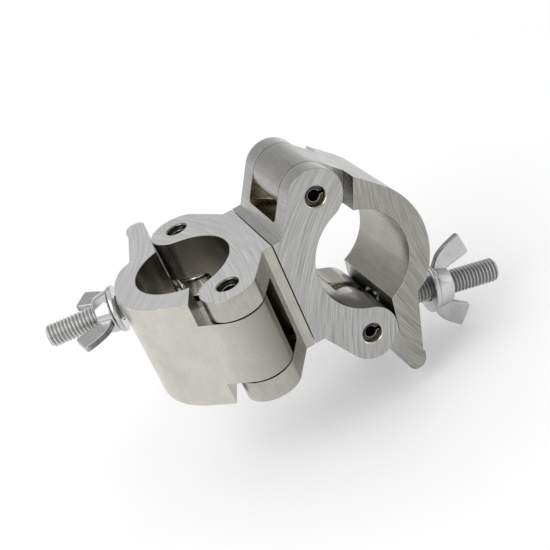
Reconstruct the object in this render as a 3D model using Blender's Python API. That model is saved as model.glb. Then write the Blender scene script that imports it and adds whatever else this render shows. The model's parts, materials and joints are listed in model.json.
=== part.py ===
"""Swivel pipe clamp for 32 to 35 mm tube: two half couplers, back to back on a swivel.

Each half is a saddle cut from an extrusion, with a jaw hinged on one arm and an
eyebolt hinged in the other.  The eyebolt lies in the fork of the jaw's tail, and a
wing nut on it pulls the jaw shut.  A shouldered bolt through the two bases lets the
halves turn against each other.

A half is drawn in its own frame: x runs out from the swivel plane, y towards the
hinge arm, z along the tube.  All sizes below are millimetres.
"""

from math import acos, asin, atan2, ceil, cos, degrees, hypot, pi, radians, sin, sqrt

import bmesh
import bpy
from mathutils import Matrix, Vector

MM = 0.001
ARC_STEP_DEG = 7.0
CUT_OVERRUN = 6.0

# Tube and saddle extrusion
TUBE_D = 35.0
SADDLE_EASE = 0.4
WIDTH = 36.0
BASE_SPAN = 36.0
BASE_WALL = 8.55
FLANGE_T = 3.0
ARM_R = 8.7
PIN_DROP = 9.1
SEAM = 0.3

# Milled slots in the two arms
HINGE_SLOT_W = 22.0
HINGE_SLOT_CORNER_R = 1.3
EYE_SLOT_W = 9.0
EYE_SLOT_CORNER_R = 1.4
SLOT_END_GAP = 1.6

# Jaw
JAW_GRIP = 0.2
JAW_WALL = 6.85
JAW_OUTER_R = 27.0
OVERCLOSE_DEG = 12.0
KNUCKLE_EASE = 0.0
KNUCKLE_SIDE_GAP = 0.4
KNUCKLE_CHAMFER = 0.8
NOTCH_GAP = 3.1
NOTCH_TURN_DEG = -21.0
REST_GAP = 0.08
TAIL_SPLAY_DEG = 7.0
TAIL_REACH = 13.8
TIP_R = 3.2
LIP_FLAT = 2.2
SEAT_DIST = 16.5
SEAT_TOP = 9.5
SHOULDER_DEG = -38.0
FORK_W = 9.6
FORK_END = 6.2

# Spring pins
PIN_D = 6.0
PIN_WALL = 1.2
PIN_SLIT = 0.9
PIN_SINK = 1.5
PIN_HOLE_CHAMFER = 0.4
PIN_PRESS_GAP = 0.15
PIN_RUN_GAP = 0.25

# Eyebolt, washer and wing nut
BOLT_D = 8.0
BOLT_TILT_DEG = 15.0
BOLT_REACH = 53.0
BOLT_END_CHAMFER = 0.9
EYE_R = 7.8
EYE_SIDE_GAP = 0.4
EYE_EDGE_R = 1.6
THREAD_GAP = 0.3
WASHER_D = 16.0
WASHER_T = 1.6
WASHER_STANDOFF = 11.3
STACK_GAP = 0.3
HUB_BASE_R = 7.2
HUB_TOP_R = 6.2
HUB_H = 5.6
WING_T = 2.8
WING_TIP_R = 17.0
WING_TIP_H = 10.1
WING_TOP_R = 9.7
WING_TOP_H = 13.6
WING_END_BULGE = 0.3
UPRIGHT_WING_ROLL_DEG = -4.0
LEVEL_WING_ROLL_DEG = 3.0

# Swivel
SWIVEL_D = 8.0
SLEEVE_WALL = 1.4
SLEEVE_GAP = 0.25
POCKET_D = 16.4
POCKET_FLOOR = 3.0
POCKET_GAP = 0.7
SWIVEL_WASHER_T = 1.2
HEAD_D = 13.0
HEAD_T = 3.4
SOCKET_AF = 5.0
SOCKET_DEPTH = 1.8
NUT_AF = 13.0
NUT_T = 3.4
THRUST_D = 24.0
THRUST_T = 2.0
THRUST_SINK = 1.15

# What follows from the sizes above
BASE_X = SEAM / 2
BORE_R = TUBE_D / 2 + SADDLE_EASE
BORE_X = BASE_X + BASE_WALL + BORE_R
PIN_X = BORE_X - PIN_DROP
PIN_Y = sqrt((BORE_R + ARM_R) ** 2 - PIN_DROP**2)
HINGE = Vector((PIN_X, PIN_Y))
ANCHOR = Vector((PIN_X, -PIN_Y))
PIN_HOLE_R = PIN_D / 2 + PIN_PRESS_GAP
PIVOT_HOLE_R = PIN_D / 2 + PIN_RUN_GAP
KNUCKLE_R = ARM_R - KNUCKLE_EASE
SLOT_END = ARM_R + SLOT_END_GAP
BOLT_DIR = Vector((cos(radians(BOLT_TILT_DEG)), -sin(radians(BOLT_TILT_DEG))))
BOLT_SIDE = Vector((-BOLT_DIR.y, BOLT_DIR.x))
THREAD_HOLE_R = BOLT_D / 2 + THREAD_GAP
WASHER_AT = SEAT_DIST + WASHER_STANDOFF
NUT_AT = WASHER_AT + WASHER_T + STACK_GAP
SLEEVE_R = SWIVEL_D / 2 + SLEEVE_GAP + SLEEVE_WALL
POCKET_X = BASE_X + POCKET_FLOOR
POCKET_WASHER_X = POCKET_X + STACK_GAP
POCKET_HEAD_X = POCKET_WASHER_X + SWIVEL_WASHER_T + STACK_GAP

FINISHES = {
    "machined_aluminium": ((0.60, 0.59, 0.56), 0.38, 1.0),
    "bright_zinc": ((0.72, 0.73, 0.74), 0.16, 1.0),
    "zinc_thread": ((0.55, 0.56, 0.56), 0.34, 1.0),
    "spring_steel": ((0.20, 0.19, 0.18), 0.35, 1.0),
    "black_steel": ((0.05, 0.05, 0.05), 0.45, 1.0),
    "bearing_plastic": ((0.12, 0.12, 0.12), 0.55, 0.0),
}


def clear_scene():
    for obj in list(bpy.data.objects):
        bpy.data.objects.remove(obj, do_unlink=True)


def finish(name):
    material = bpy.data.materials.get(name)
    if material is None:
        colour, roughness, metallic = FINISHES[name]
        material = bpy.data.materials.new(name)
        material.use_nodes = True
        shader = material.node_tree.nodes["Principled BSDF"]
        shader.inputs["Base Color"].default_value = (*colour, 1.0)
        shader.inputs["Roughness"].default_value = roughness
        shader.inputs["Metallic"].default_value = metallic
    return material


# Plane geometry


def polar(centre, radius, angle_deg):
    a = radians(angle_deg)
    return Vector((centre[0] + radius * cos(a), centre[1] + radius * sin(a)))


def arc(centre, radius, start_deg, end_deg):
    steps = max(2, ceil(abs(end_deg - start_deg) / ARC_STEP_DEG))
    return [
        polar(centre, radius, start_deg + (end_deg - start_deg) * i / steps)
        for i in range(steps + 1)
    ]


def angle_of(vector):
    return degrees(atan2(vector[1], vector[0]))


def arm_tangent():
    """Where the flank from the flange corner meets the arm's round end, as an angle there."""
    corner = Vector((BASE_X + FLANGE_T, BASE_SPAN / 2))
    reach = HINGE - corner
    return angle_of(reach) + degrees(asin(ARM_R / reach.length)) + 90


def bolt_point(along, across):
    return ANCHOR + BOLT_DIR * along + BOLT_SIDE * across


def saddle_outline():
    flank = arm_tangent()
    bore_side = angle_of(Vector((BORE_X, 0)) - HINGE)
    upper = [
        Vector((BASE_X, BASE_SPAN / 2)),
        Vector((BASE_X + FLANGE_T, BASE_SPAN / 2)),
        *arc(HINGE, ARM_R, flank, bore_side),
        *arc((BORE_X, 0), BORE_R, bore_side + 180, 180)[1:],
    ]
    lower = [Vector((p.x, -p.y)) for p in reversed(upper)]
    return upper + lower[1:]


def jaw_centre():
    """The jaw's arc is concentric with the tube once the jaw opens by OVERCLOSE_DEG."""
    reach = Vector((BORE_X, 0)) - HINGE
    return HINGE + Matrix.Rotation(-radians(OVERCLOSE_DEG), 2) @ reach


def jaw_outline():
    inner_r = TUBE_D / 2 - JAW_GRIP
    inner = jaw_centre()
    outer = inner + Vector((inner_r + JAW_WALL - JAW_OUTER_R, 0))

    # The straight back between knuckle and outer arc is tangent to both.
    gap = HINGE - outer
    back = angle_of(gap) - degrees(acos((JAW_OUTER_R - KNUCKLE_R) / gap.length))

    # The tail's inner face lies just off the round end of the eyebolt arm.
    lean = radians(BOLT_TILT_DEG - TAIL_SPLAY_DEG)
    face = Vector((cos(radians(TAIL_SPLAY_DEG)), -sin(radians(TAIL_SPLAY_DEG))))
    down = Vector((face.y, -face.x))
    foot = ANCHOR + face * (ARM_R + REST_GAP)
    away = (foot - inner).dot(face)
    mouth = inner + face * away + down * sqrt(inner_r**2 - away**2)

    tip_along = (ARM_R + REST_GAP + TIP_R + TAIL_REACH * sin(lean)) / cos(lean)
    tip = bolt_point(tip_along, -TAIL_REACH)
    lip_rise = tip_along + TIP_R - SEAT_DIST
    lip_top = LIP_FLAT - TAIL_REACH
    hook = angle_of(inner - HINGE) - 95 + 360

    return [
        *arc(HINGE, KNUCKLE_R, back, hook),
        polar(HINGE, KNUCKLE_R - KNUCKLE_CHAMFER, hook + 14),
        *arc(inner, inner_r, 102, angle_of(mouth - inner)),
        *arc(tip, TIP_R, angle_of(-face), angle_of(BOLT_DIR) + 360),
        bolt_point(SEAT_DIST + lip_rise, lip_top),
        bolt_point(SEAT_DIST, lip_top + lip_rise),
        bolt_point(SEAT_DIST, SEAT_TOP),
        *arc(outer, JAW_OUTER_R, SHOULDER_DEG, back),
    ]


# Solids


def mesh_object(name, bm, parent=None, material=None):
    bmesh.ops.recalc_face_normals(bm, faces=bm.faces)
    bmesh.ops.scale(bm, vec=(MM, MM, MM), verts=bm.verts)
    mesh = bpy.data.meshes.new(name)
    bm.to_mesh(mesh)
    bm.free()
    mesh.shade_smooth()
    mesh.set_sharp_from_angle(angle=radians(32))
    obj = bpy.data.objects.new(name, mesh)
    bpy.context.collection.objects.link(obj)
    obj.parent = parent
    if material:
        mesh.materials.append(finish(material))
    return obj


def prism_mesh(outline, low, high, frame=None):
    """Extrudes an outline along z; frame then turns and moves it."""
    bm = bmesh.new()
    face = bm.faces.new([bm.verts.new((p[0], p[1], low)) for p in outline])
    made = bmesh.ops.extrude_face_region(bm, geom=[face])["geom"]
    lifted = [v for v in made if isinstance(v, bmesh.types.BMVert)]
    bmesh.ops.translate(bm, vec=(0, 0, high - low), verts=lifted)
    if frame:
        bmesh.ops.transform(bm, matrix=frame, verts=bm.verts)
    return bm


def turned_mesh(profile, frame=None, steps=36):
    """Spins a profile of (radius, height) points about z into a closed solid."""
    bm = bmesh.new()
    rings = []
    for radius, height in profile:
        if radius == 0:
            rings.append([bm.verts.new((0, 0, height))])
            continue
        turn = [2 * pi * i / steps for i in range(steps)]
        rings.append([bm.verts.new((radius * cos(a), radius * sin(a), height)) for a in turn])
    closed = profile[0][0] != 0
    pairs = list(zip(rings, rings[1:]))
    if closed:
        pairs.append((rings[-1], rings[0]))
    for below, above in pairs:
        for i in range(steps):
            k = (i + 1) % steps
            if len(below) == 1:
                bm.faces.new((below[0], above[k], above[i]))
            elif len(above) == 1:
                bm.faces.new((below[i], below[k], above[0]))
            else:
                bm.faces.new((below[i], below[k], above[k], above[i]))
    if frame:
        bmesh.ops.transform(bm, matrix=frame, verts=bm.verts)
    return bm


ALONG_X = Matrix.Rotation(pi / 2, 4, "Y")


def combine(obj, other, operation):
    step = obj.modifiers.new(f"{operation.lower()}_{other.name}", "BOOLEAN")
    step.object = other
    step.operation = operation
    step.solver = "EXACT"
    other.hide_render = True
    other.display_type = "WIRE"


def cut(obj, bm, label):
    combine(obj, mesh_object(f"{obj.name}_{label}", bm, obj), "DIFFERENCE")


def join(obj, bm, label):
    combine(obj, mesh_object(f"{obj.name}_{label}", bm, obj), "UNION")


def empty(name, parent=None, location=(0, 0, 0), turn=None):
    obj = bpy.data.objects.new(name, None)
    bpy.context.collection.objects.link(obj)
    obj.parent = parent
    obj.matrix_local = Matrix.Translation(Vector(location) * MM) @ (turn or Matrix.Identity(4))
    return obj


def bar(radius, low, high):
    return turned_mesh([(0, low), (radius, low), (radius, high), (0, high)], steps=28)


def arm_slot(side, width, corner_r):
    """A milled slot open at the arm's end; its end wall stands square to the arm's flank."""
    flank = radians(arm_tangent() - 90)
    down = -Vector((cos(flank), sin(flank)))
    inward = Vector((-down.y, down.x))
    reach = SLOT_END + ARM_R + CUT_OVERRUN
    half = width / 2
    outline = [
        (-reach, -half),
        *arc((SLOT_END - corner_r, corner_r - half), corner_r, -90, 0),
        *arc((SLOT_END - corner_r, half - corner_r), corner_r, 0, 90),
        (-reach, half),
    ]
    depth = 2 * ARM_R + CUT_OVERRUN
    frame = Matrix.Identity(4)
    columns = (
        (down.x, down.y * side, 0),
        (0, 0, 1),
        (inward.x, inward.y * side, 0),
    )
    for i, column in enumerate(columns):
        for k in range(3):
            frame[k][i] = column[k]
    frame.translation = (PIN_X, PIN_Y * side, 0)
    return prism_mesh(outline, -depth, depth, frame)


def pin_hole(centre, radius):
    """A hole through both ears of an arm, with a chamfer at each mouth."""
    length = WIDTH / 2 + CUT_OVERRUN
    chamfer_end = WIDTH / 2 - PIN_HOLE_CHAMFER
    flare = radius + length - chamfer_end
    profile = [
        (0, -length),
        (flare, -length),
        (radius, -chamfer_end),
        (radius, chamfer_end),
        (flare, length),
        (0, length),
    ]
    bm = turned_mesh(profile, steps=28)
    bmesh.ops.translate(bm, vec=(centre[0], centre[1], 0), verts=bm.verts)
    return bm


def swivel_well():
    """Sleeve hole, recess for the thrust washer and pocket for a bolt head or nut."""
    profile = [
        (0, -CUT_OVERRUN),
        (THRUST_D / 2 + POCKET_GAP, -CUT_OVERRUN),
        (THRUST_D / 2 + POCKET_GAP, BASE_X + THRUST_SINK),
        (SLEEVE_R + SLEEVE_GAP, BASE_X + THRUST_SINK),
        (SLEEVE_R + SLEEVE_GAP, POCKET_X),
        (POCKET_D / 2, POCKET_X),
        (POCKET_D / 2, BORE_X),
        (0, BORE_X),
    ]
    return turned_mesh(profile, ALONG_X)


# Pieces of one half


def build_saddle(half, frame):
    saddle = mesh_object(
        f"{half}_saddle",
        prism_mesh(saddle_outline(), -WIDTH / 2, WIDTH / 2),
        frame,
        "machined_aluminium",
    )
    cut(saddle, arm_slot(1, HINGE_SLOT_W, HINGE_SLOT_CORNER_R), "hinge_slot")
    cut(saddle, arm_slot(-1, EYE_SLOT_W, EYE_SLOT_CORNER_R), "eye_slot")
    cut(saddle, pin_hole(HINGE, PIN_HOLE_R), "hinge_hole")
    cut(saddle, pin_hole(ANCHOR, PIN_HOLE_R), "eye_hole")
    cut(saddle, swivel_well(), "swivel_well")


def build_jaw(half, frame):
    hinge = empty(f"{half}_hinge_axis", frame, (HINGE.x, HINGE.y, 0))
    to_hinge = Matrix.Translation((-HINGE.x, -HINGE.y, 0))
    jaw = mesh_object(
        f"{half}_jaw",
        prism_mesh(jaw_outline(), -WIDTH / 2, WIDTH / 2, to_hinge),
        hinge,
        "machined_aluminium",
    )
    knuckle = HINGE_SLOT_W / 2 - KNUCKLE_SIDE_GAP
    shoulder = ARM_R + NOTCH_GAP
    far = shoulder + 2 * ARM_R + CUT_OVERRUN
    ear_room = [(shoulder - far, -far), (shoulder, -far), (shoulder, far), (shoulder - far, far)]
    turn = Matrix.Rotation(radians(NOTCH_TURN_DEG), 4, "Z")
    for label, low, high in (
        ("upper_notch", knuckle, WIDTH / 2 + CUT_OVERRUN),
        ("lower_notch", -WIDTH / 2 - CUT_OVERRUN, -knuckle),
    ):
        cut(jaw, prism_mesh(ear_room, low, high, turn), label)
    bm = bar(PIVOT_HOLE_R, -WIDTH, WIDTH)
    cut(jaw, bm, "pivot_hole")

    # The fork is cut across the tail, along the bolt.
    end = FORK_END - FORK_W / 2
    fork = [
        (-TAIL_REACH - TIP_R - CUT_OVERRUN, -FORK_W / 2),
        *arc((end, 0), FORK_W / 2, -90, 90),
        (-TAIL_REACH - TIP_R - CUT_OVERRUN, FORK_W / 2),
    ]
    place = Matrix.Identity(4)
    for k in range(2):
        place[k][0] = BOLT_SIDE[k]
        place[k][2] = BOLT_DIR[k]
    place[2][:3] = (0, 1, 0)
    place[0][1] = 0
    place[1][1] = 0
    place.translation = (ANCHOR.x, ANCHOR.y, 0)
    bm = prism_mesh(fork, ARM_R - CUT_OVERRUN, SEAT_DIST + CUT_OVERRUN, to_hinge @ place)
    cut(jaw, bm, "fork")


def build_pin(name, frame, centre):
    """A rolled spring pin: a tube with a slit along it."""
    outer = PIN_D / 2
    inner = outer - PIN_WALL
    open_out = degrees(asin(PIN_SLIT / 2 / outer))
    open_in = degrees(asin(PIN_SLIT / 2 / inner))
    outline = [
        *arc((0, 0), outer, open_out, 360 - open_out),
        *arc((0, 0), inner, 360 - open_in, open_in),
    ]
    end = WIDTH / 2 - PIN_SINK
    pin = mesh_object(name, prism_mesh(outline, -end, end), frame, "spring_steel")
    pin.location = Vector((centre[0], centre[1], 0)) * MM


def build_eyebolt(half, axis):
    end = BOLT_REACH
    thick = EYE_SLOT_W - 2 * EYE_SIDE_GAP
    edge = EYE_EDGE_R
    profile = [
        (0, -thick / 2),
        (EYE_R - edge, -thick / 2),
        (EYE_R - edge * 0.3, edge * 0.3 - thick / 2),
        (EYE_R, edge - thick / 2),
        (EYE_R, thick / 2 - edge),
        (EYE_R - edge * 0.3, thick / 2 - edge * 0.3),
        (EYE_R - edge, thick / 2),
        (0, thick / 2),
    ]
    eyebolt = mesh_object(f"{half}_eyebolt", turned_mesh(profile), axis, "zinc_thread")
    shank_r = BOLT_D / 2
    neck = PIVOT_HOLE_R + PIN_WALL
    shank = [
        (0, neck),
        (shank_r, neck),
        (shank_r, end - BOLT_END_CHAMFER),
        (shank_r - BOLT_END_CHAMFER, end),
        (0, end),
    ]
    join(eyebolt, turned_mesh(shank, ALONG_X, steps=32), "shank")
    cut(eyebolt, bar(PIVOT_HOLE_R, -EYE_SLOT_W, EYE_SLOT_W), "pivot_hole")


def ring_profile(inner, outer, low, high):
    return [(inner, low), (outer, low), (outer, high), (inner, high)]


def build_washer(half, axis):
    bm = turned_mesh(
        ring_profile(THREAD_HOLE_R, WASHER_D / 2, WASHER_AT, WASHER_AT + WASHER_T),
        ALONG_X,
        steps=40,
    )
    mesh_object(f"{half}_washer", bm, axis, "bright_zinc")


def build_wing_nut(half, axis, roll_deg):
    blend = 0.7
    hub = [
        (0, 0),
        (HUB_BASE_R - blend, 0),
        (HUB_BASE_R, blend),
        (HUB_TOP_R, HUB_H - blend),
        (HUB_TOP_R - blend, HUB_H),
        (0, HUB_H),
    ]
    seat = Matrix.Translation((NUT_AT, 0, 0))
    nut = mesh_object(f"{half}_wing_nut", turned_mesh(hub, seat @ ALONG_X), axis, "bright_zinc")

    # One wing, as (height above the nut's seat, distance from the axis).
    root = THREAD_HOLE_R + blend
    wing = [
        (blend, root),
        (blend, HUB_BASE_R),
        (WING_TIP_H * 0.28, HUB_BASE_R + (WING_TIP_R - HUB_BASE_R) * 0.45),
        (WING_TIP_H * 0.62, HUB_BASE_R + (WING_TIP_R - HUB_BASE_R) * 0.78),
        (WING_TIP_H, WING_TIP_R),
        (
            (WING_TIP_H + WING_TOP_H) / 2 + WING_END_BULGE,
            (WING_TIP_R + WING_TOP_R) / 2 + WING_END_BULGE,
        ),
        (WING_TOP_H, WING_TOP_R),
        (HUB_H - blend, HUB_TOP_R - blend / 2),
        (HUB_H - blend, root),
    ]
    for label, turn in (("near_wing", 0), ("far_wing", 180)):
        spin = Matrix.Rotation(radians(roll_deg + turn), 4, "X")
        join(nut, prism_mesh(wing, -WING_T / 2, WING_T / 2, seat @ spin), label)
    hole = turned_mesh(
        [(0, -CUT_OVERRUN), (THREAD_HOLE_R, -CUT_OVERRUN), (THREAD_HOLE_R, BOLT_REACH), (0, BOLT_REACH)],
        seat @ ALONG_X,
    )
    cut(nut, hole, "thread_hole")


def build_half(half, centre, turn, wing_roll_deg):
    frame = empty(f"{half}_frame", centre, turn=turn)
    build_saddle(half, frame)
    build_jaw(half, frame)
    build_pin(f"{half}_hinge_pin", frame, HINGE)
    build_pin(f"{half}_eyebolt_pin", frame, ANCHOR)
    tilt = Matrix.Rotation(-radians(BOLT_TILT_DEG), 4, "Z")
    axis = empty(f"{half}_bolt_axis", frame, (ANCHOR.x, ANCHOR.y, 0), tilt)
    build_eyebolt(half, axis)
    build_washer(half, axis)
    build_wing_nut(half, axis, wing_roll_deg)


# The swivel between the halves


def hexagon(across_flats):
    return [polar((0, 0), across_flats / 2 / cos(pi / 6), 60 * i) for i in range(6)]


def build_swivel(centre):
    back = Matrix.Rotation(-pi / 2, 4, "Y")
    sleeve = ring_profile(SWIVEL_D / 2 + SLEEVE_GAP, SLEEVE_R, -POCKET_X, POCKET_X)
    mesh_object("swivel_sleeve", turned_mesh(sleeve, ALONG_X), centre, "spring_steel")

    thrust = ring_profile(SLEEVE_R + SLEEVE_GAP, THRUST_D / 2, -THRUST_T / 2, THRUST_T / 2)
    mesh_object("thrust_washer", turned_mesh(thrust, ALONG_X), centre, "bearing_plastic")

    outer = POCKET_D / 2 - POCKET_GAP
    inner = SWIVEL_D / 2 + SLEEVE_GAP
    plate = ring_profile(inner, outer, POCKET_WASHER_X, POCKET_WASHER_X + SWIVEL_WASHER_T)
    mesh_object("head_washer", turned_mesh(plate, back), centre, "bright_zinc")
    mesh_object("nut_washer", turned_mesh(plate, ALONG_X), centre, "bright_zinc")

    head_end = -POCKET_HEAD_X - HEAD_T
    nut_end = POCKET_HEAD_X + NUT_T
    bolt = [
        (0, head_end),
        (HEAD_D / 2, head_end),
        (HEAD_D / 2, -POCKET_HEAD_X),
        (SWIVEL_D / 2, -POCKET_HEAD_X),
        (SWIVEL_D / 2, nut_end),
        (0, nut_end),
    ]
    bolt_object = mesh_object("swivel_bolt", turned_mesh(bolt, ALONG_X), centre, "black_steel")
    socket = prism_mesh(hexagon(SOCKET_AF), head_end - CUT_OVERRUN, head_end + SOCKET_DEPTH, ALONG_X)
    cut(bolt_object, socket, "socket")

    nut = prism_mesh(hexagon(NUT_AF), POCKET_HEAD_X, nut_end, ALONG_X)
    nut_object = mesh_object("swivel_nut", nut, centre, "black_steel")
    hole = bar(SWIVEL_D / 2 + SLEEVE_GAP, -CUT_OVERRUN, nut_end + CUT_OVERRUN)
    bmesh.ops.transform(hole, matrix=ALONG_X, verts=hole.verts)
    cut(nut_object, hole, "hole")


def main():
    clear_scene()
    # The origin is on the upright tube's axis, so the swivel's centre lies off to one side.
    centre = empty("swivel_centre", None, (BORE_X, 0, 0))
    build_half("upright", centre, Matrix.Rotation(pi, 4, "Z"), UPRIGHT_WING_ROLL_DEG)
    build_half("level", centre, Matrix.Rotation(pi / 2, 4, "X"), LEVEL_WING_ROLL_DEG)
    build_swivel(centre)


main()
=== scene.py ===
"""Looks of the swivel pipe clamp: bevelled metal pieces, cut threads and a white studio."""

import json
from math import asin, cos, pi, radians, sin, tan

import bmesh
import bpy
from mathutils import Matrix, Vector

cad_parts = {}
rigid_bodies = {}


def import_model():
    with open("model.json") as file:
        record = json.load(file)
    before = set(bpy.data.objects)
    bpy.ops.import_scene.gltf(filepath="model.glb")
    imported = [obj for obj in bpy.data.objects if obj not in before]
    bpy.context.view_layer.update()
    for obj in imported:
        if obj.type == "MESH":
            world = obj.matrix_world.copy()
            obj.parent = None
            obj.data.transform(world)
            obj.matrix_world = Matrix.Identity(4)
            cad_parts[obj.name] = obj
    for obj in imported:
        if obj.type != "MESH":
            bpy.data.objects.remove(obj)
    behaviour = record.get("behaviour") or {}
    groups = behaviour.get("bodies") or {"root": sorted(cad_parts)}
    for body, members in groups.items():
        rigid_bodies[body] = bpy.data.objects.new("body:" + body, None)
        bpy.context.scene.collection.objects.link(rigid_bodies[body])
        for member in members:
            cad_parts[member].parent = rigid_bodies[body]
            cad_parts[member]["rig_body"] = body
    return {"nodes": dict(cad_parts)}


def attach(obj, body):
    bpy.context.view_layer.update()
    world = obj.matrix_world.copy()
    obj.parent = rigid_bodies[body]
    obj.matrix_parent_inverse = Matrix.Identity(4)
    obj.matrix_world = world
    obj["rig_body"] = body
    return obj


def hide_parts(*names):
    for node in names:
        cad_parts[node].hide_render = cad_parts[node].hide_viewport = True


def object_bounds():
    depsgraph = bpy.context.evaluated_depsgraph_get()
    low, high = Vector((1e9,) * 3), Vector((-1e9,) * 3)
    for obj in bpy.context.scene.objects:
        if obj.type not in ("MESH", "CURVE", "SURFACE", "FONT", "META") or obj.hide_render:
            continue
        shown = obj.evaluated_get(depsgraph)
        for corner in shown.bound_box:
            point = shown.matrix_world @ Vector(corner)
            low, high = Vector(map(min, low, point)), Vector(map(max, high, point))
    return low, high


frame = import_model()
cad_low, cad_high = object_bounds()

MM = 0.001
HALVES = ("upright", "level")

# Sizes and places as in the part's source, in millimetres
CENTRE_X = 26.6
PIN = Vector((17.5, 24.995))
SADDLE_CENTRE = Vector((CENTRE_X, 0))
SADDLE_BORE_R = 17.9
JAW_CENTRE = Vector((21.2, -1.35))
JAW_BORE_R = 17.3
HALF_WIDTH = 18.0
BOLT_TILT = radians(15)
BOLT_END = 53.0
BOLT_R = 4.0
EYE_R = 7.8
EYE_T = 8.2
EYE_HOLE_R = 3.25
NUT_AT = 29.7
WINGS = 2
WING_ROLL = {"upright": radians(-4), "level": radians(3)}

# Sizes of the finer forms that the solids leave out, in millimetres
PITCH = 1.25
THREAD_DEPTH = 0.7
THREAD_CHAMFER = 0.9
NECK_START = 5.0
NECK_END = 14.0
NECK_LAP = 1.0
NECK_R = BOLT_R - 0.15
NECK_CORE_R = 0.4
EYE_ROUND = 2.2
EYE_HOLE_ROUND = 0.6
WING_ROOT_T = 2.8
WING_TAPER = 0.02
SAWN_EDGE = 0.16
PIN_EDGE = 0.2
SWIVEL_EDGE = 0.2
WASHER_EDGE = 0.3
WING_EDGE = 0.45

# Corners of the wing nut as (along the bolt, out from it, rounding)
HUB_CORNERS = (
    (0, 4.1, 0.4),
    (0, 7.2, 0.5),
    (1.0, 7.2, 0.5),
    (5.6, 6.2, 0.8),
    (5.6, 4.1, 0.4),
)
WING_CORNERS = (
    (0.7, 4.9, 0.3),
    (0.6, 7.4, 1.5),
    (2.2, 11.5, 3.0),
    (6.0, 14.6, 3.0),
    (10.1, 17.0, 1.0),
    (13.6, 9.7, 1.0),
    (9.2, 7.7, 2.0),
    (5.0, 5.9, 0.3),
    (4.9, 4.9, 0.3),
)

# How the faces of a piece are told apart: bands and reaches in millimetres, facings as cosines
END_FACING = 0.98
END_BAND = 0.5
BORE_FACING = 0.97
BORE_BAND = 0.4
SLOT_DOWN = Vector((-0.915, -0.404))
SLOT_FACING = 0.3
SLOT_REACH = (9.0, 13.5)
SLOT_HALF_WIDTH = 11.2
PIN_HOLE_REACH = 3.6
PIN_END_FACING = 0.95
PIN_RIM_FACING = 0.2
WING_FACING = 0.7

# How the CAD meshes are merged and made finer, with gaps in metres
SAME_PLACE = 2e-6
CUT_SLACK = 1e-7
FLAT_TURN = radians(0.5)
SMOOTH_TURN = radians(20)
LEAST_TURN = radians(1)
SHARP_TURN = radians(34)
WING_TURN = radians(50)
ALONG_AXIS = 0.99
ACROSS_AXIS = 0.02
FINER_PASSES = 2

# The most of a side that the rounding of a corner takes
CORNER_SHARE = 0.45

CENTRE = Matrix.Translation((CENTRE_X, 0, 0))
HALF = {
    "upright": CENTRE @ Matrix.Rotation(pi, 4, "Z"),
    "level": CENTRE @ Matrix.Rotation(pi / 2, 4, "X"),
}
BOLT = {
    half: HALF[half] @ Matrix.Translation((PIN.x, -PIN.y, 0)) @ Matrix.Rotation(-BOLT_TILT, 4, "Z")
    for half in HALVES
}
ALONG_X = Matrix.Rotation(pi / 2, 4, "Y")


def direction(half, x, y, z=0.0):
    """A direction in a half's own frame, turned into the part's."""
    return HALF[half].to_3x3() @ Vector((x, y, z))


# Node helpers


class Nodes:
    """Adds nodes to a tree and feeds their inputs with links or plain values."""

    def __init__(self, tree):
        self.tree = tree

    def add(self, kind, links=None, **settings):
        node = self.tree.nodes.new(kind)
        for key, value in settings.items():
            setattr(node, key, value)
        for key, value in (links or {}).items():
            self.feed(node.inputs[key], value)
        return node

    def feed(self, socket, value):
        if isinstance(value, bpy.types.NodeSocket):
            self.tree.links.new(value, socket)
        else:
            socket.default_value = value

    def math(self, operation, a, b=0.0, c=0.0):
        links = {0: a, 1: b, 2: c}
        return self.add("ShaderNodeMath", links, operation=operation).outputs[0]

    def vector(self, operation, a, b=(0, 0, 0)):
        node = self.add("ShaderNodeVectorMath", {0: a, 1: b}, operation=operation)
        return node.outputs["Value" if operation in ("DOT_PRODUCT", "LENGTH") else "Vector"]

    def mix(self, factor, a, b):
        node = self.add("ShaderNodeMix", data_type="RGBA")
        self.feed(node.inputs[0], factor)
        self.feed(node.inputs[6], a)
        self.feed(node.inputs[7], b)
        return node.outputs[2]

    def ranged(self, value, low, high, to_low=0.0, to_high=1.0):
        links = {"Value": value, 1: low, 2: high, 3: to_low, 4: to_high}
        return self.add("ShaderNodeMapRange", links).outputs[0]

    def noise(self, vector, scale, detail=2.0, roughness=0.5):
        links = {"Vector": vector, "Scale": scale, "Detail": detail, "Roughness": roughness}
        return self.add("ShaderNodeTexNoise", links).outputs[0]


def group(name, kind, inputs, outputs):
    """A node group with its named inputs and outputs."""
    tree = bpy.data.node_groups.new(name, kind)
    for label, socket, value in inputs:
        made = tree.interface.new_socket(label, in_out="INPUT", socket_type=socket)
        if value is not None:
            made.default_value = value
    for label, socket in outputs:
        tree.interface.new_socket(label, in_out="OUTPUT", socket_type=socket)
    nodes = Nodes(tree)
    return tree, nodes, nodes.add("NodeGroupInput").outputs, nodes.add("NodeGroupOutput").inputs


# Shared effects, with the range of each noise that turns into its marks

SAW_RANGE = (0.32, 0.68)
GRAIN_RANGE = (0.36, 0.64)
SPECK_RANGE = (0.64, 0.72)


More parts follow.
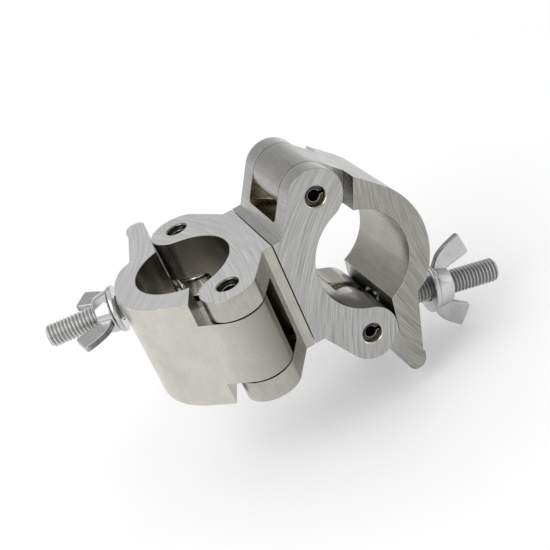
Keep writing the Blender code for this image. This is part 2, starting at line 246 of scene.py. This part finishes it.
def build_saw_marks():
    """Bowed streaks and pits that a saw leaves across a cut face."""
    tree, n, given, made = group(
        "saw_marks",
        "ShaderNodeTree",
        (
            ("Position", "NodeSocketVector", None),
            ("Across", "NodeSocketVector", (1, 0, 0)),
            ("Along", "NodeSocketVector", (0, 1, 0)),
            ("Bow", "NodeSocketFloat", -0.006),
            ("Spacing", "NodeSocketFloat", 0.28),
            ("Drift", "NodeSocketFloat", 0.08),
            ("Fine", "NodeSocketFloat", 0.5),
            ("Coarse", "NodeSocketFloat", 0.3),
            ("Pits", "NodeSocketFloat", 0.2),
        ),
        (("Tone", "NodeSocketFloat"), ("Height", "NodeSocketFloat")),
    )
    across = n.vector("DOT_PRODUCT", given["Position"], given["Across"])
    along = n.vector("DOT_PRODUCT", given["Position"], given["Along"])
    bowed = n.math("MULTIPLY_ADD", n.math("MULTIPLY", along, along), given["Bow"], across)
    stroke = n.math("DIVIDE", bowed, given["Spacing"])
    drift = n.math("MULTIPLY", along, given["Drift"])
    lie = n.add("ShaderNodeCombineXYZ", {"X": stroke, "Y": drift}).outputs[0]
    coarse = n.noise(lie, scale=0.35, detail=2.0, roughness=0.6)
    fine = n.noise(lie, scale=1.0, detail=2.0, roughness=0.7)
    pits = n.noise(given["Position"], scale=2.5, detail=2.0, roughness=0.6)
    tone = n.math("MULTIPLY", coarse, given["Coarse"])
    tone = n.math("MULTIPLY_ADD", fine, given["Fine"], tone)
    tone = n.math("MULTIPLY_ADD", pits, given["Pits"], tone)
    n.feed(made["Tone"], n.ranged(tone, *SAW_RANGE))
    n.feed(made["Height"], fine)
    return tree


def build_drawn_grain():
    """Soft lines along an extruded face, with a few dull specks."""
    tree, n, given, made = group(
        "drawn_grain",
        "ShaderNodeTree",
        (
            ("Position", "NodeSocketVector", None),
            ("Squeeze", "NodeSocketVector", (1, 1, 1)),
            ("Specks", "NodeSocketFloat", 0.4),
            ("Lines", "NodeSocketFloat", 0.25),
        ),
        (("Tone", "NodeSocketFloat"), ("Dull", "NodeSocketFloat")),
    )
    lie = n.vector("MULTIPLY", given["Position"], given["Squeeze"])
    lines = n.noise(lie, scale=1.3, detail=3.0, roughness=0.6)
    cloud = n.noise(given["Position"], scale=0.12, detail=3.0, roughness=0.6)
    spots = n.noise(given["Position"], scale=1.7, detail=2.0, roughness=0.6)
    plain = n.math("SUBTRACT", 1.0, given["Lines"])
    tone = n.math("MULTIPLY_ADD", lines, given["Lines"], n.math("MULTIPLY", cloud, plain))
    n.feed(made["Tone"], n.ranged(tone, *GRAIN_RANGE))
    n.feed(made["Dull"], n.math("MULTIPLY", n.ranged(spots, *SPECK_RANGE), given["Specks"]))
    return tree


def build_painted_corner_shade():
    """Painted shade that thins out with the distance from a corner, alike all along it."""
    tree, n, given, made = group(
        "painted_corner_shade",
        "ShaderNodeTree",
        (
            ("Position", "NodeSocketVector", None),
            ("Corner", "NodeSocketVector", (0, 0, 0)),
            ("Across", "NodeSocketVector", (1, 1, 0)),
            ("Amount", "NodeSocketFloat", 0.5),
            ("Near", "NodeSocketFloat", 5.0),
            ("Far", "NodeSocketFloat", 18.0),
        ),
        (("PaintedShade", "NodeSocketFloat"),),
    )
    away = n.vector("SUBTRACT", given["Position"], given["Corner"])
    reach = n.vector("LENGTH", n.vector("MULTIPLY", away, given["Across"]))
    painted_shade = n.ranged(reach, given["Near"], given["Far"], given["Amount"], 0.0)
    n.feed(made["PaintedShade"], painted_shade)
    return tree


SAW_MARKS = build_saw_marks()
DRAWN_GRAIN = build_drawn_grain()
PAINTED_CORNER_SHADE = build_painted_corner_shade()


# Finishes, in linear greys; the two halves get lighter and darker copies of the same greys as painted
# light and shade

SAWN_ROUGH = (0.46, 0.36)
EXTRUDED_SPREAD = (0.05, -0.04)
PLATED_SPREAD = (0.05, -0.03)
GRAIN_STRETCH = 0.05
SPECK_GREY = 0.22
GROOVE_SHADE = 0.5
GROOVE_WARM = 0.6
GROOVE_ROUGH = 0.2
MOULDED_ROUGH = 0.55
# The painted shade in the corner beside the hinge: its grey, its warmth, and the corner in the half's
# frame in millimetres
PAINTED_SHADE_GREY = 0.18
PAINTED_SHADE_WARM = 2.0
PAINTED_SHADE_CORNER = (10.6, 27.0, 0)
WARM_GREEN_LOSS = 0.03
WARM_BLUE_LOSS = 0.10
LINES = {"upright": 0.3, "level": 0.5}
# Painted light and shade: the sawn ends of the upright half get lighter greys than the same ends on
# the level half
SAWN = {
    ("upright", "saddle"): dict(way=(-0.09, 0.995), dark=0.45, light=0.84, warm=0.05),
    ("upright", "jaw"): dict(way=(0.54, 0.84), dark=0.47, light=0.84, warm=0.0),
    ("level", "saddle"): dict(way=(0.39, 0.92), dark=0.21, light=0.60, warm=0.2),
    ("level", "jaw"): dict(way=(-0.04, 1.0), dark=0.15, light=0.48, warm=1.0),
}
# Painted light and shade: the upright half's extruded faces get lighter greys than the level half's;
# the last value sets the painted shade in the corner beside the hinge
EXTRUDED = {
    ("upright", "saddle"): dict(dark=0.40, light=0.51, warm=1.1, rough=0.28, painted_shade=0.3),
    ("upright", "jaw"): dict(dark=0.52, light=0.59, warm=1.2, rough=0.30, painted_shade=0.85),
    ("level", "saddle"): dict(dark=0.34, light=0.46, warm=0.3, rough=0.24, painted_shade=0.15),
    ("level", "jaw"): dict(dark=0.31, light=0.42, warm=0.3, rough=0.24, painted_shade=0.25),
}
# Painted shade and glints: the upright saddle's hinge slot gets a dark grey as painted shade, the
# level saddle's a wide, bright range as painted glints over its milling marks, and the upright jaw a
# lighter grey than the level jaw as painted light
MILLED = {
    ("upright", "saddle"): dict(dark=0.10, light=0.26, warm=1.8, rough=0.18),
    ("upright", "jaw"): dict(dark=0.42, light=0.54, warm=1.0, rough=0.18),
    ("level", "saddle"): dict(dark=0.34, light=0.90, warm=2.6, rough=0.18),
    ("level", "jaw"): dict(dark=0.30, light=0.42, warm=0.6, rough=0.18),
}
# Painted shade: the bores get darker greys than the outer faces, and darker on the level half than on
# the upright one
BORE = {
    "upright": dict(dark=0.36, light=0.45, warm=1.4, rough=0.22),
    "level": dict(dark=0.27, light=0.33, warm=1.4, rough=0.22),
}


def material(name):
    """A new material with its nodes, its shader and the place on the piece in millimetres."""
    made = bpy.data.materials.new(name)
    made.use_nodes = True
    shader = made.node_tree.nodes["Principled BSDF"]
    nodes = Nodes(made.node_tree)
    place = nodes.add("ShaderNodeTexCoord").outputs["Object"]
    position = nodes.vector("MULTIPLY", place, (1 / MM, 1 / MM, 1 / MM))
    return made, nodes, shader, position


def use(nodes, tree, **links):
    """Places a shared effect in a material and gives its outputs."""
    node = nodes.add("ShaderNodeGroup", node_tree=tree)
    for key, value in links.items():
        nodes.feed(node.inputs[key], value)
    return node.outputs


def grey(value, warm=0.0):
    """A grey, drawn towards yellow as warm rises."""
    green = value * (1 - WARM_GREEN_LOSS * warm)
    blue = value * (1 - WARM_BLUE_LOSS * warm)
    return (value, green, blue, 1.0)


def sawn(name, half, way, dark, light, warm):
    """Aluminium as the saw left it."""
    made, n, shader, position = material(name)
    marks = use(
        n,
        SAW_MARKS,
        Position=position,
        Across=direction(half, way[1], -way[0]),
        Along=direction(half, *way),
    )
    colour = n.mix(marks["Tone"], grey(dark, warm), grey(light, warm))
    n.feed(shader.inputs["Base Color"], colour)
    n.feed(shader.inputs["Roughness"], n.ranged(marks["Tone"], 0, 1, *SAWN_ROUGH))
    shader.inputs["Metallic"].default_value = 1.0
    bump = n.add("ShaderNodeBump", {"Height": marks["Height"], "Strength": 0.10, "Distance": 0.0002})
    n.feed(shader.inputs["Normal"], bump.outputs[0])
    return made


def varied(n, tone, rough, spread):
    """A roughness that follows the tone of the grain."""
    return n.ranged(tone, 0, 1, rough + spread[0], rough + spread[1])


def extruded(name, half, dark, light, warm, rough, painted_shade=0.0):
    """Drawn aluminium, with painted shade in the corner beside the hinge where the piece has it."""
    made, n, shader, position = material(name)
    along = direction(half, 0, 0, 1)
    squeeze = tuple(GRAIN_STRETCH if abs(c) > 0.5 else 1.0 for c in along)
    grain = use(n, DRAWN_GRAIN, Position=position, Squeeze=squeeze, Lines=LINES[half])
    colour = n.mix(grain["Tone"], grey(dark, warm), grey(light, warm))
    colour = n.mix(grain["Dull"], colour, grey(SPECK_GREY, warm))
    # Painted shade: a dark, warm grey laid over the corner beside the hinge, fading with the distance
    # from it
    if painted_shade:
        corner = HALF[half] @ Vector(PAINTED_SHADE_CORNER)
        across = Vector((1, 1, 1)) - along * along
        corner_darkening = use(n, PAINTED_CORNER_SHADE, Position=position, Corner=corner, Across=across, Amount=painted_shade)
        colour = n.mix(corner_darkening["PaintedShade"], colour, grey(PAINTED_SHADE_GREY, PAINTED_SHADE_WARM))
    n.feed(shader.inputs["Base Color"], colour)
    n.feed(shader.inputs["Roughness"], varied(n, grain["Tone"], rough, EXTRUDED_SPREAD))
    shader.inputs["Metallic"].default_value = 1.0
    return made


def plated(name, dark, light, rough):
    """Plated, blackened or bare steel."""
    made, n, shader, position = material(name)
    grain = use(n, DRAWN_GRAIN, Position=position)
    n.feed(shader.inputs["Base Color"], n.mix(grain["Tone"], grey(dark), grey(light)))
    n.feed(shader.inputs["Roughness"], varied(n, grain["Tone"], rough, PLATED_SPREAD))
    shader.inputs["Metallic"].default_value = 1.0
    return made


def threaded(name, dark, light, rough):
    """Plated thread, rougher in its grooves and darker there as painted shade."""
    made, n, shader, position = material(name)
    grain = use(n, DRAWN_GRAIN, Position=position)
    groove = n.add("ShaderNodeAttribute", attribute_name="groove").outputs["Fac"]
    colour = n.mix(grain["Tone"], grey(dark), grey(light))
    # Painted shade: the grooves take a darker, warmer grey
    n.feed(shader.inputs["Base Color"], n.mix(groove, colour, grey(dark * GROOVE_SHADE, GROOVE_WARM)))
    n.feed(shader.inputs["Roughness"], n.ranged(groove, 0, 1, rough, rough + GROOVE_ROUGH))
    shader.inputs["Metallic"].default_value = 1.0
    return made


def moulded(name, dark, light):
    """Moulded plastic."""
    made, n, shader, position = material(name)
    grain = use(n, DRAWN_GRAIN, Position=position)
    n.feed(shader.inputs["Base Color"], n.mix(grain["Tone"], grey(dark), grey(light)))
    shader.inputs["Roughness"].default_value = MOULDED_ROUGH
    return made


FINISH = {}
for half in HALVES:
    for piece in ("saddle", "jaw"):
        name = f"{half}_{piece}"
        FINISH[half, piece] = {
            "sawn": sawn(f"{name}_sawn", half, **SAWN[half, piece]),
            "extruded": extruded(f"{name}_extruded", half, **EXTRUDED[half, piece]),
            "bore": extruded(f"{name}_bore", half, **BORE[half]),
            "milled": extruded(f"{name}_milled", half, **MILLED[half, piece]),
        }
BRIGHT_ZINC = plated("bright_zinc", dark=0.50, light=0.60, rough=0.18)
WING_ZINC = plated("wing_zinc", dark=0.46, light=0.56, rough=0.24)
WING_EDGE_ZINC = plated("wing_edge_zinc", dark=0.14, light=0.50, rough=0.22)
# Painted light: the same plated thread is lighter on the upright half's bolt than on the level half's
THREAD = {
    "upright": threaded("upright_thread", dark=0.68, light=0.82, rough=0.24),
    "level": threaded("level_thread", dark=0.46, light=0.58, rough=0.30),
}
POLISHED_EYE = plated("polished_eye", dark=0.58, light=0.68, rough=0.12)
# Painted highlight: the pin rims get a lighter grey than the sides; the ends get the darkest grey
PIN_FINISH = {
    "end": plated("spring_steel_end", dark=0.03, light=0.06, rough=0.30),
    "rim": plated("spring_steel_rim_painted_highlight", dark=0.24, light=0.34, rough=0.22),
    "side": plated("spring_steel", dark=0.08, light=0.13, rough=0.30),
}
BLACK_STEEL = plated("black_steel", dark=0.035, light=0.06, rough=0.42)
PLASTIC = moulded("bearing_plastic", dark=0.05, light=0.08)


# Meshes


def add_object(name, mesh):
    obj = bpy.data.objects.new(name, mesh)
    bpy.context.scene.collection.objects.link(obj)
    return obj


def settled(obj):
    """Replaces an object's modifiers with the plain mesh that they make."""
    bpy.context.view_layer.update()
    graph = bpy.context.evaluated_depsgraph_get()
    mesh = bpy.data.meshes.new_from_object(obj.evaluated_get(graph))
    obj.modifiers.clear()
    obj.data = mesh
    return obj


def bevelled(obj, width, segments=2, turn=SHARP_TURN):
    """Breaks the edges where the surface turns more than the given angle."""
    edge = obj.modifiers.new("edge", "BEVEL")
    edge.width = width * MM
    edge.segments = segments
    edge.limit_method = "ANGLE"
    edge.angle_limit = turn
    edge.use_clamp_overlap = False
    obj.modifiers.new("even", "WEIGHTED_NORMAL").keep_sharp = True
    obj.data.shade_smooth()
    return settled(obj)


def spread(face, axis):
    """The way across a facet of a round, and where along it the facet starts and ends."""
    way = axis.cross(face.normal)
    places = [vert.co.dot(way) for vert in face.verts]
    return way, min(places), max(places)


def mirrored(way, normal):
    """The way on the other side of a facet's normal."""
    return 2 * normal.dot(way) * normal - way


def facet_lift(face, axis):
    """How far the middle of a facet lies below the curve through its neighbours."""
    way, low, high = spread(face, axis)
    ends = {}
    for edge in face.edges:
        run = edge.verts[1].co - edge.verts[0].co
        if len(edge.link_faces) != 2 or abs(run.normalized().dot(axis)) < ALONG_AXIS:
            continue
        other = edge.link_faces[1 if edge.link_faces[0] == face else 0]
        if face.normal.angle(other.normal) > SMOOTH_TURN:
            continue
        _, other_low, other_high = spread(other, axis)
        at = edge.verts[0].co.dot(way)
        side = "first" if at - low < high - at else "last"
        shared = face.normal * (high - low) + other.normal * (other_high - other_low)
        ends[side] = shared.normalized()
    if not ends:
        return 0.0
    first = ends["first"] if "first" in ends else mirrored(ends["last"], face.normal)
    last = ends["last"] if "last" in ends else mirrored(first, face.normal)
    turn = asin(max(-1.0, min(1.0, first.cross(last).dot(axis))))
    return (high - low) / 2 * tan(turn / 4) if abs(turn) > LEAST_TURN else 0.0


def inside(place):
    """The nearest place within the CAD box."""
    return Vector([sorted(limits)[1] for limits in zip(cad_low, place, cad_high)])


def rounder(bm, axis):
    """Splits the facets of every round along the axis and lifts the new lines on to the curve."""
    bm.normal_update()
    cuts = []
    for face in bm.faces:
        if abs(face.normal.dot(axis)) > ACROSS_AXIS:
            continue
        lift = facet_lift(face, axis)
        if lift:
            way, low, high = spread(face, axis)
            cuts.append((face, way * (low + high) / 2, way, face.normal * lift))
    moved = set()
    for face, middle, way, lift in cuts:
        parts = [face, *face.edges, *face.verts]
        made = bmesh.ops.bisect_plane(bm, geom=parts, dist=CUT_SLACK, plane_co=middle, plane_no=way)
        for vert in made["geom_cut"]:
            if isinstance(vert, bmesh.types.BMVert) and vert not in moved:
                vert.co = inside(vert.co + lift)
                moved.add(vert)


def from_cad(node, width, axis=None):
    """A copy of a CAD piece with its edges broken and its rounds along the axis made finer."""
    bm = bmesh.new()
    bm.from_mesh(frame["nodes"][node].data)
    bmesh.ops.remove_doubles(bm, verts=bm.verts, dist=SAME_PLACE)
    bmesh.ops.dissolve_limit(bm, angle_limit=FLAT_TURN, verts=bm.verts, edges=bm.edges)
    if axis is not None:
        for _ in range(FINER_PASSES):
            rounder(bm, axis)
    mesh = bpy.data.meshes.new(f"{node}_look")
    bm.to_mesh(mesh)
    bm.free()
    return bevelled(add_object(f"{node}_look", mesh), width)


def coat(obj, finish):
    """Gives a piece one finish all over."""
    obj.data.materials.clear()
    obj.data.materials.append(finish)


def paint(obj, half, choose, finishes):
    """Gives each face the finish that choose names from its place and normal in the half's frame."""
    to_half = HALF[half].inverted()
    turn = to_half.to_3x3()
    obj.data.materials.clear()
    names = list(finishes)
    for name in names:
        obj.data.materials.append(finishes[name])
    for face in obj.data.polygons:
        centre = to_half @ (face.center / MM)
        face.material_index = names.index(choose(centre, turn @ face.normal))


def stand_in(obj, node):
    """Puts a finished piece in the place of its CAD node."""
    body = frame["nodes"][node]["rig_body"]
    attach(obj, body)
    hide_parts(node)


def cut_faces(bore_centre, bore_r, slotted):
    """Tells the sawn ends, the bore and the milled slots of a saddle or jaw apart."""

    def choose(centre, normal):
        if abs(normal.z) > END_FACING:
            return "sawn" if abs(centre.z) > HALF_WIDTH - END_BAND else "milled"
        reach = centre.xy - bore_centre
        if abs(reach.length - bore_r) < BORE_BAND and reach.normalized().dot(normal.xy) < -BORE_FACING:
            return "bore"
        side = 1 if centre.y > 0 else -1
        to_pin = (centre.xy - Vector((PIN.x, side * PIN.y))).length
        slot_end = -normal.x * SLOT_DOWN.x - side * normal.y * SLOT_DOWN.y
        in_slot = SLOT_REACH[0] < to_pin < SLOT_REACH[1] and abs(centre.z) < SLOT_HALF_WIDTH
        if slotted and in_slot and slot_end > SLOT_FACING:
            return "milled"
        return "milled" if to_pin < PIN_HOLE_REACH else "extruded"

    return choose


def pin_faces(_centre, normal):
    """Tells the ends and the rims of a pin from its sides; the rims get a lighter grey as a painted
    highlight.
    """
    if abs(normal.z) > PIN_END_FACING:
        return "end"
    return "rim" if abs(normal.z) > PIN_RIM_FACING else "side"


def spun(profile, steps):
    """Closed (radius, height) profile spun about z."""
    bm = bmesh.new()
    rings = []
    for i in range(steps):
        c, s = cos(2 * pi * i / steps), sin(2 * pi * i / steps)
        rings.append([bm.verts.new((r * c, r * s, h)) for r, h in profile])
    count = len(profile)
    for i in range(steps):
        here, there = rings[i], rings[(i + 1) % steps]
        for k in range(count):
            m = (k + 1) % count
            bm.faces.new((here[k], there[k], there[m], here[m]))
    return bm


def placed(bm, matrix, name):
    """Makes an object of a mesh in millimetres, put where the matrix says."""
    bmesh.ops.transform(bm, matrix=matrix, verts=bm.verts)
    bmesh.ops.scale(bm, vec=(MM, MM, MM), verts=bm.verts)
    bmesh.ops.recalc_face_normals(bm, faces=bm.faces)
    mesh = bpy.data.meshes.new(name)
    bm.to_mesh(mesh)
    bm.free()
    mesh.shade_smooth()
    mesh.set_sharp_from_angle(angle=SHARP_TURN)
    return add_object(name, mesh)


def rounded(corners, steps=4):
    """A closed outline through (a, b, rounding) corners, each of them rounded."""
    out = []
    count = len(corners)
    for i, (a, b, rounding) in enumerate(corners):
        corner = Vector((a, b))
        before = Vector(corners[i - 1][:2]) - corner
        after = Vector(corners[(i + 1) % count][:2]) - corner
        reach = min(rounding, before.length * CORNER_SHARE, after.length * CORNER_SHARE)
        start = corner + before.normalized() * reach
        end = corner + after.normalized() * reach
        for k in range(steps + 1):
            t = k / steps
            out.append(start * (1 - t) ** 2 + corner * 2 * t * (1 - t) + end * t**2)
    return out


# Points round the thread, rows along each turn, where its flank starts and ends, and its closed ends
THREAD_AROUND = 41
THREAD_ROWS = 10
THREAD_FLANK = (0.12, 0.88)
THREAD_END = 0.4999
THREAD_MERGE = 1e-6


def build_thread_tree():
    """A threaded rod along x, wound from a grid whose end rows close on the axis."""
    tree, n, given, made = group(
        "threaded_rod",
        "GeometryNodeTree",
        (
            ("Length", "NodeSocketFloat", 0.04),
            ("Radius", "NodeSocketFloat", 0.004),
            ("Depth", "NodeSocketFloat", 0.0007),
            ("Pitch", "NodeSocketFloat", 0.00125),
            ("Chamfer", "NodeSocketFloat", 0.0009),
            ("Rows", "NodeSocketInt", 321),
            ("Finish", "NodeSocketMaterial", None),
        ),
        (("Geometry", "NodeSocketGeometry"),),
    )
    grid = n.add("GeometryNodeMeshGrid", {"Vertices X": given["Rows"], "Vertices Y": THREAD_AROUND})
    place = n.add("ShaderNodeSeparateXYZ", {0: n.add("GeometryNodeInputPosition").outputs[0]})
    share = n.math("ADD", place.outputs[0], 0.5)
    along = n.math("MULTIPLY", share, given["Length"])
    turn = n.math("ADD", place.outputs[1], 0.5)
    angle = n.math("MULTIPLY", turn, 2 * pi)
    phase = n.math("FRACT", n.math("SUBTRACT", n.math("DIVIDE", along, given["Pitch"]), turn))
    ridge = n.math("ABSOLUTE", n.math("MULTIPLY_ADD", phase, 2.0, -1.0))
    groove = n.ranged(ridge, *THREAD_FLANK)
    radius = n.math("SUBTRACT", given["Radius"], n.math("MULTIPLY", groove, given["Depth"]))
    left = n.math("SUBTRACT", given["Length"], along)
    tip = n.math("ADD", n.math("SUBTRACT", given["Radius"], given["Chamfer"]), left)
    radius = n.math("MINIMUM", radius, tip)
    between_ends = n.math("LESS_THAN", n.math("ABSOLUTE", place.outputs[0]), THREAD_END)
    radius = n.math("MULTIPLY", radius, between_ends)
    spot = n.add(
        "ShaderNodeCombineXYZ",
        {
            "X": along,
            "Y": n.math("MULTIPLY", radius, n.math("COSINE", angle)),
            "Z": n.math("MULTIPLY", radius, n.math("SINE", angle)),
        },
    )
    marked = n.add(
        "GeometryNodeStoreNamedAttribute",
        {"Geometry": grid.outputs[0], "Name": "groove", "Value": groove},
        data_type="FLOAT",
        domain="POINT",
    )
    shape = marked.outputs[0]
    for kind, links in (
        ("GeometryNodeSetPosition", {"Position": spot.outputs[0]}),
        ("GeometryNodeMergeByDistance", {"Distance": THREAD_MERGE}),
        ("GeometryNodeSetShadeSmooth", {}),
        ("GeometryNodeRealizeInstances", {}),
        ("GeometryNodeSetMaterial", {"Material": given["Finish"]}),
    ):
        shape = n.add(kind, {"Geometry": shape, **links}).outputs[0]
    n.feed(made["Geometry"], shape)
    return tree


THREAD_TREE = build_thread_tree()


def threaded_rod(name, start, end, matrix, finish):
    """A length of thread on a bolt, from start to end along it."""
    obj = add_object(name, bpy.data.meshes.new(name))
    maker = obj.modifiers.new("thread", "NODES")
    maker.node_group = THREAD_TREE
    values = {
        "Length": (end - start) * MM,
        "Radius": BOLT_R * MM,
        "Depth": THREAD_DEPTH * MM,
        "Pitch": PITCH * MM,
        "Chamfer": THREAD_CHAMFER * MM,
        "Rows": round((end - start) / PITCH * THREAD_ROWS) + 1,
        "Finish": finish,
    }
    for item in THREAD_TREE.interface.items_tree:
        if item.in_out == "INPUT" and item.name in values:
            maker[item.identifier] = values[item.name]
    settled(obj)
    shift = Matrix.Translation((start, 0, 0))
    obj.data.transform(Matrix.Scale(MM, 4) @ matrix @ shift @ Matrix.Scale(1 / MM, 4))
    bm = bmesh.new()
    bm.from_mesh(obj.data)
    bmesh.ops.recalc_face_normals(bm, faces=bm.faces)
    bm.to_mesh(obj.data)
    bm.free()
    return obj


def joined(first, *others):
    """Joins pieces into the first of them."""
    with bpy.context.temp_override(
        active_object=first, object=first, selected_editable_objects=[first, *others]
    ):
        bpy.ops.object.join()


# Pieces


def build_eyebolt(half):
    matrix = BOLT[half]
    ring = (
        (EYE_HOLE_R, -EYE_T / 2, EYE_HOLE_ROUND),
        (EYE_R, -EYE_T / 2, EYE_ROUND),
        (EYE_R, EYE_T / 2, EYE_ROUND),
        (EYE_HOLE_R, EYE_T / 2, EYE_HOLE_ROUND),
    )
    eye = placed(spun(rounded(ring, steps=5), steps=56), matrix, f"{half}_eyebolt_look")
    coat(eye, POLISHED_EYE)
    shank = (
        (NECK_CORE_R, NECK_START),
        (NECK_R, NECK_START),
        (NECK_R, NECK_END + NECK_LAP),
        (NECK_CORE_R, NECK_END + NECK_LAP),
    )
    neck = placed(spun(shank, steps=40), matrix @ ALONG_X, f"{half}_neck")
    coat(neck, POLISHED_EYE)
    rod = threaded_rod(f"{half}_rod", NECK_END, BOLT_END, matrix, THREAD[half])
    joined(eye, neck, rod)
    stand_in(eye, f"{half}_eyebolt")


def build_wing(name, matrix):
    """One wing, thinner towards its tip, with a darker grey round its edge."""
    outline = rounded(WING_CORNERS)
    bm = bmesh.new()
    low = [bm.verts.new((p.x, p.y, -WING_ROOT_T / 2 + WING_TAPER * p.y)) for p in outline]
    high = [bm.verts.new((p.x, p.y, WING_ROOT_T / 2 - WING_TAPER * p.y)) for p in outline]
    bm.faces.new(low)
    bm.faces.new(reversed(high))
    for i in range(len(outline)):
        m = (i + 1) % len(outline)
        bm.faces.new((low[i], low[m], high[m], high[i]))
    wing = bevelled(placed(bm, matrix, name), WING_EDGE, segments=3, turn=WING_TURN)
    flat = matrix.to_3x3() @ Vector((0, 0, 1))
    wing.data.materials.append(WING_ZINC)
    wing.data.materials.append(WING_EDGE_ZINC)
    for face in wing.data.polygons:
        face.material_index = int(abs(face.normal.dot(flat)) < WING_FACING)
    return wing


def build_wing_nut(half):
    seat = BOLT[half] @ Matrix.Translation((NUT_AT, 0, 0))
    profile = rounded([(out, along, rounding) for along, out, rounding in HUB_CORNERS], steps=3)
    hub = placed(spun(profile, steps=48), seat @ ALONG_X, f"{half}_wing_nut_look")
    coat(hub, BRIGHT_ZINC)
    wings = []
    for k in range(WINGS):
        roll = Matrix.Rotation(WING_ROLL[half] + 2 * pi * k / WINGS, 4, "X")
        wings.append(build_wing(f"{half}_wing_{k}", seat @ roll))
    joined(hub, *wings)
    stand_in(hub, f"{half}_wing_nut")


def build_half(half):
    along_tube = direction(half, 0, 0, 1)
    saddle = from_cad(f"{half}_saddle", SAWN_EDGE, along_tube)
    paint(saddle, half, cut_faces(SADDLE_CENTRE, SADDLE_BORE_R, True), FINISH[half, "saddle"])
    stand_in(saddle, f"{half}_saddle")
    jaw = from_cad(f"{half}_jaw", SAWN_EDGE, along_tube)
    paint(jaw, half, cut_faces(JAW_CENTRE, JAW_BORE_R, False), FINISH[half, "jaw"])
    stand_in(jaw, f"{half}_jaw")
    for node in ("hinge_pin", "eyebolt_pin"):
        pin = from_cad(f"{half}_{node}", PIN_EDGE)
        paint(pin, half, pin_faces, PIN_FINISH)
        stand_in(pin, f"{half}_{node}")
    washer = from_cad(f"{half}_washer", WASHER_EDGE, BOLT[half].to_3x3().col[0])
    coat(washer, BRIGHT_ZINC)
    stand_in(washer, f"{half}_washer")
    build_eyebolt(half)
    build_wing_nut(half)


def build_swivel():
    for node, finish, slot in (
        ("swivel_bolt", BLACK_STEEL, "black_steel"),
        ("swivel_nut", BLACK_STEEL, "black_steel"),
        ("swivel_sleeve", PIN_FINISH["side"], "spring_steel"),
        ("thrust_washer", PLASTIC, "bearing_plastic"),
        ("head_washer", BRIGHT_ZINC, "bright_zinc"),
        ("nut_washer", BRIGHT_ZINC, "bright_zinc"),
    ):
        piece = from_cad(node, SWIVEL_EDGE, Vector((1, 0, 0)))
        coat(piece, finish)
        stand_in(piece, node)


# Studio, in metres, watts and linear greys

FLOOR_REACH = 12.0
FLOOR_GAP = 0.0006
FLOOR_GREYS = (0.92, 0.95)
FLOOR_GLOW = (0.12, 0.55)
GLOW_FROM_MM = 300
GLOW_FULL_MM = 2000
SKY_HEIGHTS = (0.02, 0.92)
SKY_GREYS = (0.95, 0.25)
LAMPS = (
    dict(name="key", place=(-1.0, -0.6, 1.1), size=(1.4, 1.4), power=12.0),
    dict(name="top", place=(0.1, 0.3, 1.6), size=(2.4, 2.4), power=13.0),
    dict(name="side", place=(0.65, -0.20, 0.25), size=(0.3, 0.5), power=0.15),
)

# The camera as solved from the photo
PHOTO_PIXELS = 550
FOCAL_PIXELS = 1205.04
SENSOR_MM = 36
CAMERA_AT = Vector((-0.03283, -0.32234, 0.17263))
CAMERA_RIGHT = Vector((0.8597, -0.3565, -0.3659))
CAMERA_BACK = Vector((-0.162, -0.8695, 0.4665))


def build_floor():
    """A pale floor that keeps the shadow near the part and is seen as white further out."""
    bm = bmesh.new()
    bmesh.ops.create_grid(bm, x_segments=1, y_segments=1, size=FLOOR_REACH)
    bmesh.ops.translate(bm, vec=(0, 0, cad_low.z - FLOOR_GAP), verts=bm.verts)
    mesh = bpy.data.meshes.new("floor")
    bm.to_mesh(mesh)
    bm.free()
    floor = add_object("floor", mesh)
    made, n, shader, position = material("floor_white")
    tone = n.noise(position, scale=0.02, detail=2.0)
    n.feed(shader.inputs["Base Color"], n.mix(tone, *map(grey, FLOOR_GREYS)))
    path = n.add("ShaderNodeLightPath").outputs
    seen = n.math("MAXIMUM", path["Is Camera Ray"], path["Is Glossy Ray"])
    seen = n.math("MAXIMUM", seen, path["Is Transmission Ray"])
    glow = n.ranged(n.vector("LENGTH", position), GLOW_FROM_MM, GLOW_FULL_MM, *FLOOR_GLOW)
    shown = n.math("MULTIPLY", seen, glow)
    n.feed(shader.inputs["Emission Color"], n.mix(shown, grey(0.0), grey(1.0)))
    shader.inputs["Emission Strength"].default_value = 1.0
    shader.inputs["Roughness"].default_value = 0.9
    shader.inputs["Specular IOR Level"].default_value = 0.0
    floor.data.materials.append(made)


def build_world():
    """A studio that is pale near the floor and darker overhead."""
    world = bpy.data.worlds.new("studio")
    bpy.context.scene.world = world
    world.use_nodes = True
    n = Nodes(world.node_tree)
    back = world.node_tree.nodes["Background"]
    way = n.add("ShaderNodeSeparateXYZ", {0: n.add("ShaderNodeTexCoord").outputs["Generated"]})
    rise = n.ranged(way.outputs[2], *SKY_HEIGHTS, *SKY_GREYS)
    shade = n.add("ShaderNodeCombineColor", {0: rise, 1: rise, 2: rise}).outputs[0]
    n.feed(back.inputs["Color"], shade)
    back.inputs["Strength"].default_value = 1.0


def add_lamp(name, place, size, power):
    """A soft lamp that points at the middle of the part."""
    data = bpy.data.lights.new(name, "AREA")
    data.shape = "RECTANGLE"
    data.size, data.size_y = size
    data.energy = power
    obj = add_object(name, data)
    obj.location = place
    to_part = Vector((CENTRE_X * MM, 0, 0)) - Vector(place)
    obj.rotation_euler = to_part.to_track_quat("-Z", "Y").to_euler()


def build_camera():
    data = bpy.data.cameras.new("camera")
    data.lens = SENSOR_MM * FOCAL_PIXELS / PHOTO_PIXELS
    data.sensor_width = SENSOR_MM
    data.clip_start = 0.01
    cam = add_object("camera", data)
    back = CAMERA_BACK.normalized()
    right = (CAMERA_RIGHT - back * CAMERA_RIGHT.dot(back)).normalized()
    up = back.cross(right)
    turn = Matrix((right, up, back)).transposed().to_4x4()
    cam.matrix_world = Matrix.Translation(CAMERA_AT) @ turn
    bpy.context.scene.camera = cam


for half in HALVES:
    build_half(half)
build_swivel()
build_floor()
build_world()
for lamp in LAMPS:
    add_lamp(**lamp)
build_camera()
bpy.context.scene.view_settings.view_transform = "Standard"
